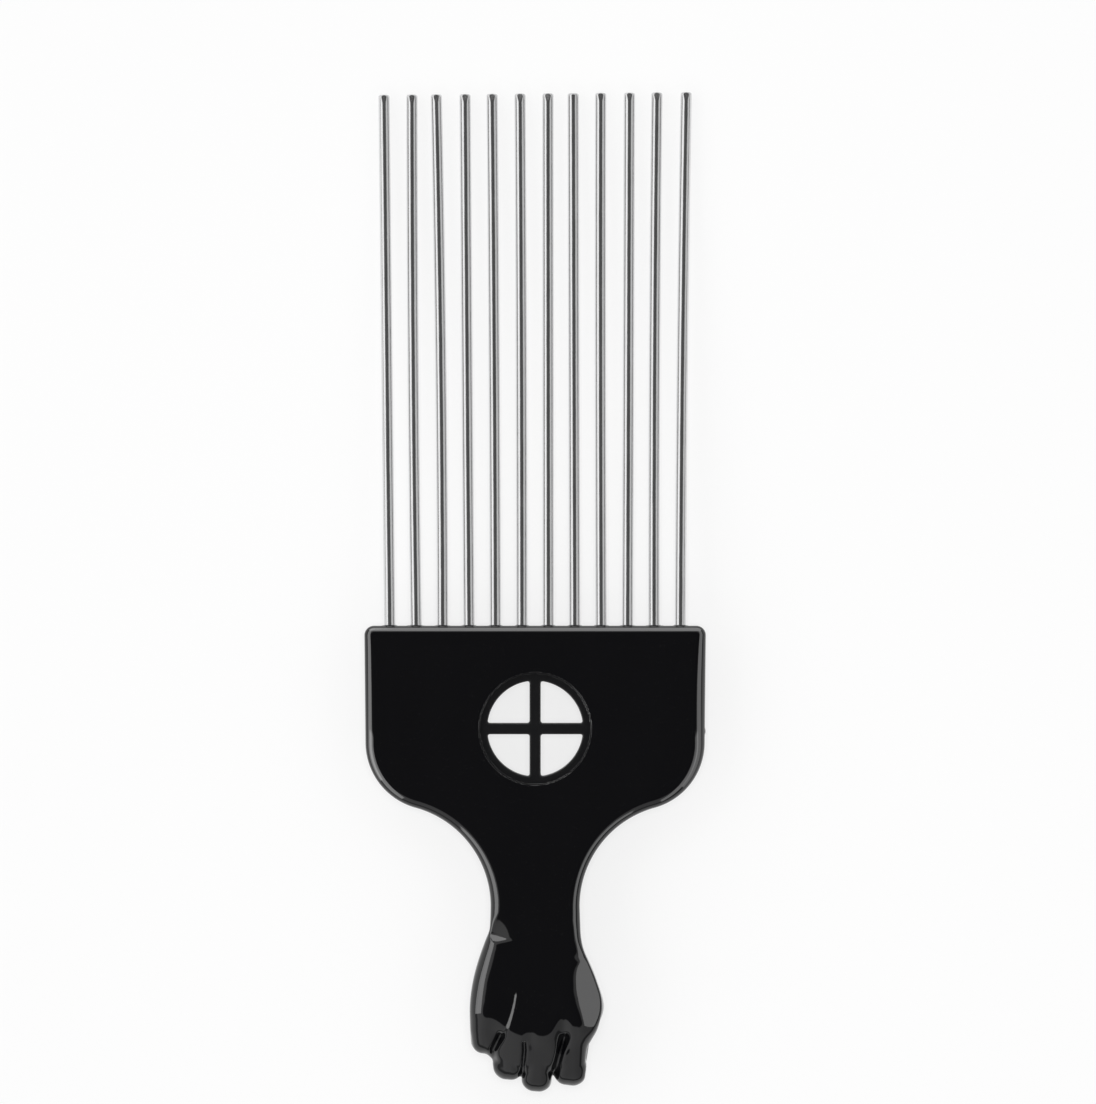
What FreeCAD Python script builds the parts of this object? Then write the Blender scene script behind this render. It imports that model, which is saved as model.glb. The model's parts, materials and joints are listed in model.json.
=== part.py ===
"""Afro pick: steel wire teeth moulded into a flat plastic head, on a handle that ends in a clenched fist.

Every piece is drawn flat first. X runs across the head, Y from the fist towards the tooth tips with zero at
the head's top edge, and Z out of the front face with zero at mid thickness. The pieces are then laid on a
table together, where the pick rests on its thumb and its tooth tips.
"""

import FreeCAD
import Part
import Sketcher
import math
import os

TOOTH_COUNT = 12
GROOVE_COUNT = 2
FINGERS = ("little", "ring", "middle", "index")

# Millimetres, except for the lean and the turns, which are degrees
DIMENSIONS = {
    # Head and neck
    "head_width": 77.0,
    "corner_radius": 2.2,
    "side_drop": 25.9,
    "side_draft": 0.25,
    "shoulder_radius": 15.3,
    "neck_radius": 23.0,
    "neck_width": 20.1,
    "plate_thickness": 6.0,
    "edge_radius": 2.0,
    "tang_length": 8.0,
    # Window
    "root_wall": 2.2,
    "recess_radius": 12.6,
    "recess_depth": 1.0,
    "ring_width": 1.8,
    "bar_width": 2.5,
    # Teeth
    "tooth_diameter": 2.5,
    "tooth_length": 120.7,
    "tooth_embed": 8.0,
    "tooth_margin": 5.73,
    "tip_spread": 1.3,
    "tip_round": 0.9,
    "groove_width": 1.0,
    "groove_depth": 0.3,
    "groove_pitch": 2.2,
    "groove_height": 1.8,
    "socket_clearance": 0.02,
    # Wrist and palm, by their distance below the neck
    "merge_length": 6.0,
    "merge_inset": 0.8,
    "wrist_drop": 4.0,
    "wrist_width": 20.6,
    "wrist_front": 4.3,
    "wrist_back": 4.6,
    "wrist_round": 3.4,
    "palm_drop": 22.0,
    "palm_left": 14.8,
    "palm_right": 13.8,
    "palm_front": 7.0,
    "palm_back": 9.6,
    "palm_round": 6.0,
    "core_drop": 34.0,
    "core_left": 8.0,
    "core_right": 9.4,
    "core_front": 2.8,
    "core_back": 7.0,
    "core_round": 2.6,
    # Fingers
    "knuckle_drop": 25.6,
    "knuckle_height": 3.8,
    "knuckle_bend": 4.6,
    "finger_start": 9.0,
    "finger_start_height": 0.6,
    "finger_back": 10.8,
    "finger_lean": 8.0,
    "bend_margin": 0.3,
    "fingertip_rise": 1.0,
    "little_place": -11.5,
    "little_radius": 3.2,
    "little_reach": 8.1,
    "ring_place": -4.8,
    "ring_radius": 3.6,
    "ring_reach": 13.8,
    "middle_place": 2.4,
    "middle_radius": 3.9,
    "middle_reach": 16.7,
    "index_place": 9.2,
    "index_radius": 3.3,
    "index_reach": 14.9,
    # Thumb, a row of three joints with round ends
    "thumb_base_place": 8.7,
    "thumb_base_drop": 16.7,
    "thumb_base_depth": 3.4,
    "thumb_base_length": 12.5,
    "thumb_base_radius": 4.6,
    "thumb_base_turn": 16.0,
    "thumb_bend_place": 9.4,
    "thumb_bend_drop": 26.0,
    "thumb_bend_depth": 7.4,
    "thumb_bend_length": 6.0,
    "thumb_bend_radius": 4.0,
    "thumb_bend_turn": -30.0,
    "thumb_tip_place": 4.0,
    "thumb_tip_drop": 30.2,
    "thumb_tip_depth": 10.2,
    "thumb_tip_length": 9.0,
    "thumb_tip_radius": 3.3,
    "thumb_tip_turn": -66.0,
}

# Lengths below the head's top edge that several features share
NECK_DROP = (
    "(Size.side_drop + sqrt((Size.shoulder_radius + Size.neck_radius) ^ 2"
    " - (Size.neck_width / 2 + Size.neck_radius + Size.shoulder_radius"
    " + Size.side_draft - Size.head_width / 2) ^ 2))"
)
KNUCKLE_DROP = f"({NECK_DROP} + Size.knuckle_drop)"
WINDOW_DROP = "(Size.tooth_embed + Size.root_wall + Size.recess_radius)"

doc = FreeCAD.newDocument("afro_pick")
sheet = doc.addObject("Spreadsheet::Sheet", "Size")
for row, (alias, value) in enumerate(DIMENSIONS.items(), start=1):
    sheet.set(f"A{row}", str(value))
    sheet.setAlias(f"A{row}", alias)
doc.recompute()


def value_of(expression):
    """Number that an expression gives with the sheet's values."""
    return float(sheet.evalExpression(expression))


def new_body(label):
    body = doc.addObject("PartDesign::Body", label)
    body.Label = label
    return body


def attach(item, body, role, offset=()):
    """Sits a sketch or a primitive on one of its body's origin planes, moved by up to three expressions."""
    plane = next(feature for feature in body.Origin.OriginFeatures if feature.Role == role)
    item.AttachmentSupport = [(plane, "")]
    item.MapMode = "FlatFace"
    for axis, expression in zip("xyz", offset):
        item.setExpression(f"AttachmentOffset.Base.{axis}", expression)


def turn(item, axis, expression):
    """Turns an attached sketch or primitive about an axis through its own origin."""
    placement = item.AttachmentOffset
    placement.Rotation = FreeCAD.Rotation(FreeCAD.Vector(*axis), value_of(expression))
    item.AttachmentOffset = placement
    item.setExpression("AttachmentOffset.Rotation.Angle", expression)


def new_sketch(body, name, role, offset=()):
    sketch = body.newObject("Sketcher::SketchObject", name)
    attach(sketch, body, role, offset)
    return sketch


def bind(sketch, kind, *arguments):
    """Adds a dimension to a sketch; the last argument is the expression that it follows."""
    *elements, expression = arguments
    index = sketch.addConstraint(Sketcher.Constraint(kind, *elements, value_of(expression)))
    sketch.setExpression(f"Constraints[{index}]", expression)


def place(sketch, geometry, point, across=None, along=None):
    """Fixes a sketch point by its distances from the sketch's origin; None leaves that direction free."""
    if across is not None:
        bind(sketch, "DistanceX", -1, 1, geometry, point, across)
    if along is not None:
        bind(sketch, "DistanceY", -1, 1, geometry, point, along)


def line(sketch, start, end):
    return sketch.addGeometry(Part.LineSegment(FreeCAD.Vector(*start), FreeCAD.Vector(*end)))


def arc(sketch, centre, radius, first, last):
    """Arc that runs anticlockwise between two angles in degrees."""
    circle = Part.Circle(FreeCAD.Vector(*centre), FreeCAD.Vector(0, 0, 1), radius)
    return sketch.addGeometry(Part.ArcOfCircle(circle, math.radians(first), math.radians(last)))


def join(sketch, kind, *ends):
    """Constraint without a size, such as Coincident or Tangent, between geometries and their points."""
    sketch.addConstraint(Sketcher.Constraint(kind, *ends))


def polar(radius, angle):
    return FreeCAD.Vector(radius * math.cos(math.radians(angle)), radius * math.sin(math.radians(angle)))


def add_circle(sketch, radius):
    """Circle about the sketch's origin with its radius given as an expression."""
    circle = sketch.addGeometry(Part.Circle(FreeCAD.Vector(), FreeCAD.Vector(0, 0, 1), value_of(radius)))
    join(sketch, "Coincident", circle, 3, -1, 1)
    bind(sketch, "Radius", circle, radius)


def half_profile(sketch, corners):
    """Closed outline beside the sketch's vertical axis; it starts and ends on that axis."""
    points = [(value_of(across) if across else 0.0, value_of(along)) for across, along in corners]
    sides = [line(sketch, points[i - 1], points[i]) for i in range(len(points))]
    for side, (across, along) in zip(sides, corners):
        if across:
            place(sketch, side, 2, across, along)
        else:
            join(sketch, "PointOnObject", side, 2, -2)
            place(sketch, side, 2, along=along)
    for side, following in zip(sides, sides[1:] + sides[:1]):
        join(sketch, "Coincident", side, 2, following, 1)


def revolve(body, kind, name, sketch):
    feature = body.newObject(f"PartDesign::{kind}", name)
    feature.Profile = sketch
    feature.ReferenceAxis = (sketch, ["V_Axis"])
    feature.Angle = 360
    return feature


def build_head(body):
    """Flat head and neck: half of the outline is padded and mirrored, then its long edges are rounded."""
    half_width = value_of("Size.head_width / 2")
    side_end = half_width - value_of("Size.side_draft")
    neck = value_of("Size.neck_width / 2")
    corner = value_of("Size.corner_radius")
    side_drop = value_of("Size.side_drop")
    shoulder = value_of("Size.shoulder_radius")
    neck_radius = value_of("Size.neck_radius")
    neck_drop = value_of(NECK_DROP)
    end_drop = value_of(f"{NECK_DROP} + Size.tang_length")
    lean = math.degrees(math.atan2(neck_drop - side_drop, neck + neck_radius - side_end + shoulder))

    sketch = new_sketch(body, "head_half_outline", "XY_Plane")
    axis = line(sketch, (0, -end_drop), (0, 0))
    top = line(sketch, (0, 0), (half_width - corner, 0))
    top_corner = arc(sketch, (half_width - corner, -corner), corner, 0, 90)
    side = line(sketch, (half_width, -corner), (side_end, -side_drop))
    shoulder_arc = arc(sketch, (side_end - shoulder, -side_drop), shoulder, -lean, 0)
    neck_arc = arc(sketch, (neck + neck_radius, -neck_drop), neck_radius, 180 - lean, 180)
    neck_side = line(sketch, (neck, -neck_drop), (neck, -end_drop))
    end = line(sketch, (neck, -end_drop), (0, -end_drop))

    join(sketch, "Coincident", axis, 2, -1, 1)
    join(sketch, "Coincident", axis, 2, top, 1)
    join(sketch, "Coincident", neck_side, 2, end, 1)
    join(sketch, "Coincident", end, 2, axis, 1)
    join(sketch, "Vertical", axis)
    join(sketch, "Horizontal", top)
    join(sketch, "Tangent", top, 2, top_corner, 2)
    join(sketch, "Coincident", top_corner, 1, side, 1)
    join(sketch, "Coincident", side, 2, shoulder_arc, 2)
    join(sketch, "Tangent", shoulder_arc, 1, neck_arc, 1)
    join(sketch, "Tangent", neck_arc, 2, neck_side, 1)
    join(sketch, "Vertical", neck_side)
    join(sketch, "Horizontal", end)
    join(sketch, "Horizontal", top_corner, 3, top_corner, 1)
    join(sketch, "Horizontal", shoulder_arc, 3, shoulder_arc, 2)
    bind(sketch, "Radius", top_corner, "Size.corner_radius")
    bind(sketch, "Radius", shoulder_arc, "Size.shoulder_radius")
    bind(sketch, "Radius", neck_arc, "Size.neck_radius")
    place(sketch, side, 1, across="Size.head_width / 2")
    place(sketch, side, 2, "Size.head_width / 2 - Size.side_draft", "-Size.side_drop")
    place(sketch, neck_side, 2, "Size.neck_width / 2", f"-({NECK_DROP} + Size.tang_length)")

    pad = body.newObject("PartDesign::Pad", "head_half")
    pad.Profile = sketch
    pad.SideType = "Symmetric"
    pad.setExpression("Length", "Size.plate_thickness")
    mirror = body.newObject("PartDesign::Mirrored", "head")
    mirror.Originals = [pad]
    mirror.MirrorPlane = (sketch, ["V_Axis"])
    body.Tip = mirror
    doc.recompute()

    face_height = value_of("Size.plate_thickness / 2")
    rim = [
        f"Edge{number}"
        for number, edge in enumerate(mirror.Shape.Edges, start=1)
        if all(abs(abs(vertex.Z) - face_height) < 1e-6 for vertex in edge.Vertexes)
    ]
    rounding = body.newObject("PartDesign::Fillet", "edge_rounding")
    rounding.Base = (mirror, rim)
    rounding.setExpression("Radius", "Size.edge_radius")
    doc.recompute()


def hand_section(body, name, drop, left, right, back, front, corner):
    """Rounded rectangle across the hand; every argument after the name is an expression."""
    sketch = new_sketch(body, name, "XZ_Plane", ("0", "0", drop))
    x0, x1, z0, z1, radius = (value_of(text) for text in (left, right, back, front, corner))
    bottom = line(sketch, (x0 + radius, z0), (x1 - radius, z0))
    bottom_right = arc(sketch, (x1 - radius, z0 + radius), radius, -90, 0)
    right_side = line(sketch, (x1, z0 + radius), (x1, z1 - radius))
    top_right = arc(sketch, (x1 - radius, z1 - radius), radius, 0, 90)
    top = line(sketch, (x1 - radius, z1), (x0 + radius, z1))
    top_left = arc(sketch, (x0 + radius, z1 - radius), radius, 90, 180)
    left_side = line(sketch, (x0, z1 - radius), (x0, z0 + radius))
    bottom_left = arc(sketch, (x0 + radius, z0 + radius), radius, 180, 270)
    loop = (bottom, bottom_right, right_side, top_right, top, top_left, left_side, bottom_left)
    for piece, following in zip(loop, loop[1:] + loop[:1]):
        join(sketch, "Tangent", piece, 2, following, 1)
    for level in (bottom, top):
        join(sketch, "Horizontal", level)
    for upright in (left_side, right_side):
        join(sketch, "Vertical", upright)
    for rounding in (top_right, top_left, bottom_left):
        join(sketch, "Equal", bottom_right, rounding)
    bind(sketch, "Radius", bottom_right, corner)
    place(sketch, left_side, 1, across=left)
    place(sketch, right_side, 1, across=right)
    place(sketch, bottom, 1, along=back)
    place(sketch, top, 1, along=front)
    return sketch


def build_hand(body):
    """Wrist and palm: a loft that grows out of the neck and ends inside the bent fingers."""
    inset_width = "(Size.neck_width / 2 - Size.merge_inset)"
    inset_height = "(Size.plate_thickness / 2 - Size.merge_inset)"
    sections = [
        hand_section(
            body, "neck_section", f"{NECK_DROP} - Size.merge_length", f"-{inset_width}", inset_width,
            f"-{inset_height}", inset_height, "Size.edge_radius - Size.merge_inset",
        ),
        hand_section(
            body, "wrist_section", f"{NECK_DROP} + Size.wrist_drop", "-Size.wrist_width / 2",
            "Size.wrist_width / 2", "-Size.wrist_back", "Size.wrist_front", "Size.wrist_round",
        ),
        hand_section(
            body, "palm_section", f"{NECK_DROP} + Size.palm_drop", "-Size.palm_left", "Size.palm_right",
            "-Size.palm_back", "Size.palm_front", "Size.palm_round",
        ),
        hand_section(
            body, "core_section", f"{NECK_DROP} + Size.core_drop", "-Size.core_left", "Size.core_right",
            "-Size.core_back", "Size.core_front", "Size.core_round",
        ),
    ]
    loft = body.newObject("PartDesign::AdditiveLoft", "hand")
    loft.Profile = sections[0]
    loft.Sections = sections[1:]
    doc.recompute()


def build_finger(body, name):
    """Bent finger: a tube that rises out of the hand, turns at its knuckle and lies back against the palm."""
    radius = f"Size.{name}_radius"
    bend = f"({radius} + Size.bend_margin)"
    first_height = "Size.knuckle_height - Size.knuckle_bend"
    second_along = f"-(Size.{name}_reach - {radius} - {bend})"
    second_height = f"-(Size.finger_back - {radius} - {bend})"

    start = FreeCAD.Vector(value_of("Size.finger_start"), value_of("Size.finger_start_height"))
    first = FreeCAD.Vector(0, value_of(first_height))
    second = FreeCAD.Vector(value_of(second_along), value_of(second_height))
    first_radius = value_of("Size.knuckle_bend")
    second_radius = value_of(bend)
    run_in = start - first
    rise = math.degrees(math.atan2(run_in.y, run_in.x) + math.acos(first_radius / run_in.Length))
    span = second - first
    slope = math.acos((first_radius - second_radius) / span.Length)
    fall = math.degrees(math.atan2(span.y, span.x) - slope) % 360
    back = second.y - second_radius

    path = new_sketch(body, f"{name}_path", "YZ_Plane", (f"-{KNUCKLE_DROP}", "0", f"Size.{name}_place"))
    turn(path, (0, -1, 0), "Size.finger_lean")
    inner = line(path, start, first + polar(first_radius, rise))
    knuckle = arc(path, first, first_radius, rise, fall)
    outer = line(path, first + polar(first_radius, fall), second + polar(second_radius, fall))
    end_turn = arc(path, second, second_radius, fall, 270)
    folded = line(path, (second.x, back), (value_of("Size.fingertip_rise"), back))
    pieces = (inner, knuckle, outer, end_turn, folded)
    for piece, following in zip(pieces, pieces[1:]):
        join(path, "Tangent", piece, 2, following, 1)
    join(path, "Horizontal", folded)
    join(path, "PointOnObject", knuckle, 3, -2)
    place(path, inner, 1, "Size.finger_start", "Size.finger_start_height")
    place(path, knuckle, 3, along=first_height)
    bind(path, "Radius", knuckle, "Size.knuckle_bend")
    place(path, end_turn, 3, second_along, second_height)
    bind(path, "Radius", end_turn, bend)
    place(path, folded, 2, across="Size.fingertip_rise")
    doc.recompute()

    section = body.newObject("Sketcher::SketchObject", f"{name}_section")
    section.AttachmentSupport = [(path, "Edge1")]
    section.MapMode = "NormalToEdge"
    add_circle(section, radius)
    tube = body.newObject("PartDesign::AdditivePipe", f"{name}_finger")
    tube.Profile = section
    tube.Spine = (path, [f"Edge{number}" for number in range(1, len(pieces) + 1)])
    doc.recompute()


def build_thumb(body):
    """Thumb: three round-ended joints, down the side of the palm, round its edge and across the fingers."""
    for name in ("base", "bend", "tip"):
        size = f"Size.thumb_{name}"
        radius = f"{size}_radius"
        half_length = f"{size}_length / 2"
        around = value_of(radius)
        reach = value_of(half_length)
        sketch = new_sketch(
            body, f"thumb_{name}_profile", "XY_Plane",
            (f"{size}_place", f"-({NECK_DROP} + {size}_drop)", f"-{size}_depth"),
        )
        turn(sketch, (0, 0, 1), f"{size}_turn")
        low_end = arc(sketch, (0, -reach), around, -90, 0)
        side = line(sketch, (around, -reach), (around, reach))
        high_end = arc(sketch, (0, reach), around, 0, 90)
        axis = line(sketch, (0, reach + around), (0, -reach - around))
        join(sketch, "Tangent", low_end, 2, side, 1)
        join(sketch, "Tangent", side, 2, high_end, 1)
        join(sketch, "Coincident", high_end, 2, axis, 1)
        join(sketch, "Coincident", axis, 2, low_end, 1)
        join(sketch, "PointOnObject", axis, 1, -2)
        join(sketch, "PointOnObject", axis, 2, -2)
        join(sketch, "PointOnObject", low_end, 3, -2)
        join(sketch, "PointOnObject", high_end, 3, -2)
        bind(sketch, "Radius", low_end, radius)
        place(sketch, low_end, 3, along=f"-{half_length}")
        place(sketch, high_end, 3, along=half_length)
        revolve(body, "Revolution", f"thumb_{name}", sketch)
        doc.recompute()


def build_window(body):
    """Round window: a shallow recess on both faces, and four openings that leave a cross of bars."""
    for name, side, reversed_cut in (("front_recess", "", False), ("back_recess", "-", True)):
        sketch = new_sketch(
            body, f"{name}_outline", "XY_Plane", ("0", f"-{WINDOW_DROP}", f"{side}Size.plate_thickness / 2")
        )
        add_circle(sketch, "Size.recess_radius")
        recess = body.newObject("PartDesign::Pocket", name)
        recess.Profile = sketch
        recess.Reversed = reversed_cut
        recess.setExpression("Length", "Size.recess_depth")
        doc.recompute()

    half_bar = "Size.bar_width / 2"
    opening_radius = "(Size.recess_radius - Size.ring_width)"
    near = value_of(half_bar)
    radius = value_of(opening_radius)
    far = math.sqrt(radius**2 - near**2)
    lift = math.degrees(math.asin(near / radius))
    sketch = new_sketch(body, "opening_outline", "XY_Plane", ("0", f"-{WINDOW_DROP}"))
    level = line(sketch, (near, near), (far, near))
    rim = arc(sketch, (0, 0), radius, lift, 90 - lift)
    upright = line(sketch, (near, far), (near, near))
    join(sketch, "Horizontal", level)
    join(sketch, "Vertical", upright)
    join(sketch, "Coincident", level, 2, rim, 1)
    join(sketch, "Coincident", rim, 2, upright, 1)
    join(sketch, "Coincident", upright, 2, level, 1)
    join(sketch, "Coincident", rim, 3, -1, 1)
    bind(sketch, "Radius", rim, opening_radius)
    place(sketch, level, 1, half_bar, half_bar)
    opening = body.newObject("PartDesign::Pocket", "opening")
    opening.Profile = sketch
    opening.SideType = "Symmetric"
    opening.setExpression("Length", "2 * Size.plate_thickness")
    openings = body.newObject("PartDesign::PolarPattern", "openings")
    openings.Originals = [opening]
    openings.Axis = (sketch, ["N_Axis"])
    openings.Angle = 360
    openings.Occurrences = 4
    body.Tip = openings
    doc.recompute()


def stand_on_root(sketch, number):
    """Moves a tooth's or a socket's sketch to its root on the top edge and leans it to its tip."""
    step = number - (TOOTH_COUNT - 1) / 2
    outermost = (TOOTH_COUNT - 1) / 2
    sketch.setExpression(
        "AttachmentOffset.Base.x", f"{step / outermost} * (Size.head_width / 2 - Size.tooth_margin)"
    )
    turn(
        sketch, (0, 0, -math.copysign(1, step)),
        f"atan({abs(step) / outermost} * Size.tip_spread / Size.tooth_length)",
    )


def anchored_root(gap):
    """Corners of a tooth's root with its rings, or of its socket when a gap is given, from the bottom up."""
    radius = f"(Size.tooth_diameter / 2 + {gap})"
    waist = f"(Size.tooth_diameter / 2 - Size.groove_depth + {gap})"
    bottom = f"-Size.tooth_embed - {gap}"
    corners = [(None, bottom), (radius, bottom)]
    for ring in range(GROOVE_COUNT):
        low = f"-Size.tooth_embed + Size.groove_height + {ring} * Size.groove_pitch"
        corners += [
            (radius, f"{low} + {gap}"),
            (waist, f"{low} + {gap}"),
            (waist, f"{low} + Size.groove_width - {gap}"),
            (radius, f"{low} + Size.groove_width - {gap}"),
        ]
    return radius, corners


def build_sockets(body):
    """Sockets that the plastic forms around the tooth roots, open through the rounded top edge."""
    for number in range(TOOTH_COUNT):
        sketch = new_sketch(body, f"socket_{number + 1:02d}_profile", "XY_Plane")
        radius, corners = anchored_root("Size.socket_clearance")
        half_profile(sketch, corners + [(radius, "Size.tooth_diameter"), (None, "Size.tooth_diameter")])
        stand_on_root(sketch, number)
        revolve(body, "Groove", f"socket_{number + 1:02d}", sketch)
    doc.recompute()


def build_tooth(number):
    """Straight wire tooth with two rings around its root and a softened tip."""
    body = new_body(f"tooth_{number + 1:02d}")
    sketch = new_sketch(body, "tooth_profile", "XY_Plane")
    radius, corners = anchored_root("0")
    half_profile(sketch, corners + [(radius, "Size.tooth_length"), (None, "Size.tooth_length")])
    stand_on_root(sketch, number)
    wire = revolve(body, "Revolution", "wire", sketch)
    doc.recompute()
    tip_edges = [
        f"Edge{index}"
        for index, edge in enumerate(wire.Shape.Edges, start=1)
        if edge.Curve.TypeId == "Part::GeomCircle"
        and edge.Curve.Center.y > value_of("Size.tooth_length") - value_of("Size.tip_spread")
    ]
    rounding = body.newObject("PartDesign::Fillet", "tip_rounding")
    rounding.Base = (wire, tip_edges)
    rounding.setExpression("Radius", "Size.tip_round")
    doc.recompute()
    return body


def lay_on_table(pieces):
    """Tilts the pieces about X so that thumb and tooth tips share a table at z = 0, centred on the origin."""
    thumb_reach = value_of(f"{NECK_DROP} + Size.thumb_tip_drop + Size.tooth_length")
    thumb_height = value_of("Size.thumb_tip_depth + Size.thumb_tip_radius - Size.tooth_diameter / 2")
    tilt = FreeCAD.Rotation(FreeCAD.Vector(-1, 0, 0), math.degrees(math.atan2(thumb_height, thumb_reach)))
    box = FreeCAD.BoundBox()
    for piece in pieces:
        piece.Placement = FreeCAD.Placement(FreeCAD.Vector(), tilt)
        box.add(piece.Shape.optimalBoundingBox(False))
    base = FreeCAD.Vector(-box.Center.x, -box.Center.y, -box.ZMin)
    for piece in pieces:
        piece.Placement = FreeCAD.Placement(base, tilt)
    doc.recompute()


def check(pieces):
    """Stops the build on a feature that failed or a piece without one sound solid."""
    for item in doc.Objects:
        if "Invalid" in item.State or "Error" in item.State:
            raise RuntimeError(f"{item.Name} failed: {item.State}")
    for piece in pieces:
        if piece.Shape.isNull() or not piece.Shape.isValid() or len(piece.Shape.Solids) != 1:
            raise RuntimeError(f"{piece.Label} is not one sound solid")


handle = new_body("handle")
build_head(handle)
build_window(handle)
build_sockets(handle)
build_hand(handle)
for finger in FINGERS:
    build_finger(handle, finger)
build_thumb(handle)
pieces = [handle] + [build_tooth(number) for number in range(TOOTH_COUNT)]
lay_on_table(pieces)
check(pieces)

os.makedirs("parts", exist_ok=True)
for piece in pieces:
    piece.Shape.exportStep(f"parts/{piece.Label}.step")
    print(f"{piece.Label}: {piece.Shape.Volume:.1f} mm3")
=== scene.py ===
"""Looks of the afro pick: a glossy black moulded handle with a clenched fist, and drawn steel wire teeth.

The shapes are worked out in the pick's own flat drawing, in millimetres: X across the head, Y towards the
tooth tips, Z out of the front face with zero at mid thickness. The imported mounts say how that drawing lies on
the table, and every piece is set into the frame with them.
"""

import json
import math

import bpy
import numpy as np
from mathutils import Matrix, Vector


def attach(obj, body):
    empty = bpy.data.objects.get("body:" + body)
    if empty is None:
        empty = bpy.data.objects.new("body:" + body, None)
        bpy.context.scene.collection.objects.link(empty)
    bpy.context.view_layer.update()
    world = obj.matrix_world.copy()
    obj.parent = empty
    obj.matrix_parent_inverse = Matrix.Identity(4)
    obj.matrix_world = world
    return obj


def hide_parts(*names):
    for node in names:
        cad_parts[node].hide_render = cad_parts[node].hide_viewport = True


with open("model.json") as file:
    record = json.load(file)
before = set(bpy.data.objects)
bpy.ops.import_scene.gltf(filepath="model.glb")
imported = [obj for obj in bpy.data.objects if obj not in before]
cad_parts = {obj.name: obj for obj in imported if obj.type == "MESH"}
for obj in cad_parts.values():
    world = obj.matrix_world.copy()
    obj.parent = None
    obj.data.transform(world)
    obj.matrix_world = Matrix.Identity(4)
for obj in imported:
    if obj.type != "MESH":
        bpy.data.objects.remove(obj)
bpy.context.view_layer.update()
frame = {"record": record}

MM = 0.001

# Head and neck
HEAD_WIDTH = 77.0
HEAD_TOP = 0.4
CORNER_RADIUS = 2.2
SIDE_DROP = 25.9
SIDE_DRAFT = 0.25
SHOULDER_RADIUS = 15.3
NECK_RADIUS = 23.0
NECK_WIDTH = 20.1
PLATE_THICKNESS = 6.0

# Collars around the tooth roots
COLLAR_WIDTH = 0.2
COLLAR_HEIGHT = 0.15
COLLAR_DROP = 2.0
COLLAR_ROUND = 0.1
COLLAR_BLEND = 0.3

# Gate mark on the right edge
GATE_DROP = 23.4
GATE_HEIGHT = 0.18
GATE_RADIUS = 1.0
GATE_SQUEEZE = 0.8
GATE_BLEND = 0.2

# Window
WINDOW_DROP = 22.8
RECESS_RADIUS = 12.6
RECESS_DEPTH = 1.0
RECESS_EDGE = 0.15
OPENING_RADIUS = 10.8
OPENING_CORNER = 0.6
OPENING_EDGE = 0.35
BAR_WIDTH = 2.5

# Teeth
TOOTH_COUNT = 12
TOOTH_DIAMETER = 2.5
TOOTH_LENGTH = 120.65
TOOTH_EMBED = 8.0
TOOTH_MARGIN = 5.73
TIP_SPREAD = 1.3
TIP_ROUND = 0.45
TIP_STEP = 0.6
# How far each wire's tip and its middle stand off the regular fan, from left to right
TIP_DRIFT = (0.0, 0.1, -0.6, -0.3, -0.4, -0.3, -0.2, -0.7, -0.7, -0.4, -0.4, 0.0)
MIDDLE_BOW = (0.0, -0.2, 0.3, 0.0, 0.1, 0.1, 0.0, 0.0, -0.1, 0.0, -0.2, -0.2)
# How far the cutter nipped each wire's end flat, from left to right, and over what length
TIP_NIP = (0.25, 0.3, 0.28, 0.35, 0.35, 0.38, 0.38, 0.05, 0.25, 0.25, 0.35, 0.32)
NIP_LENGTH = 1.8
# Points around a wire, and rings along its shaft, its nipped end and its rounded tip
TOOTH_SIDES = 32
SHAFT_RINGS = 48
NIP_RINGS = 7
ROUND_RINGS = 6
# Height of the shaft's first ring over the root's end, and where the shaft's rings end and the nip's rings
# start, in nip lengths from the tip
FIRST_RING = 1.0
SHAFT_STOP = 2.0
NIP_LEAD = 1.2

# Height of the photograph's frame on the pick's front face, and the middle of that frame
PHOTO_HEIGHT = 248.95
PHOTO_CENTRE = (2.9, 17.0)
CAMERA_DISTANCE = 1500.0
SENSOR_WIDTH = 36.0


def neck_drop():
    """Distance from the head's top edge to the centres of the neck's arcs, which touch the shoulders."""
    reach = NECK_WIDTH / 2 + NECK_RADIUS + SHOULDER_RADIUS + SIDE_DRAFT - HEAD_WIDTH / 2
    return SIDE_DROP + math.sqrt((SHOULDER_RADIUS + NECK_RADIUS) ** 2 - reach**2)


NECK_DROP = neck_drop()


def drawing_to_frame():
    """Matrix from the flat drawing, in millimetres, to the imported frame, in metres."""
    mounts = {mount["name"]: mount for mount in frame["record"]["mounts"]}
    normal = Vector(mounts["hanging_window"]["axis"])
    lie = Matrix.Rotation(-math.atan2(normal.y, normal.z), 4, "X")
    window = Matrix.Translation(Vector(mounts["hanging_window"]["pos_m"]))
    return window @ lie @ Matrix.Scale(MM, 4) @ Matrix.Translation((0, WINDOW_DROP, 0))


TO_FRAME = drawing_to_frame()


# Smooth solids, as distances that are negative inside

def smooth_union(first, second, blend):
    share = np.clip(0.5 + 0.5 * (second - first) / blend, 0, 1)
    return second + (first - second) * share - blend * share * (1 - share)


def smooth_common(first, second, blend):
    return -smooth_union(-first, -second, blend)


def smooth_cut(solid, tool, blend):
    return smooth_common(solid, -tool, blend)


def ease(value):
    """Smooth step from 0 to 1."""
    share = np.clip(value, 0, 1)
    return share * share * (3 - 2 * share)


def rounded(first, second, radius):
    """Where two distances are both negative, with the edge between them rounded."""
    first = first + radius
    second = second + radius
    inside = np.minimum(np.maximum(first, second), 0)
    return inside + np.hypot(np.maximum(first, 0), np.maximum(second, 0)) - radius


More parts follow.
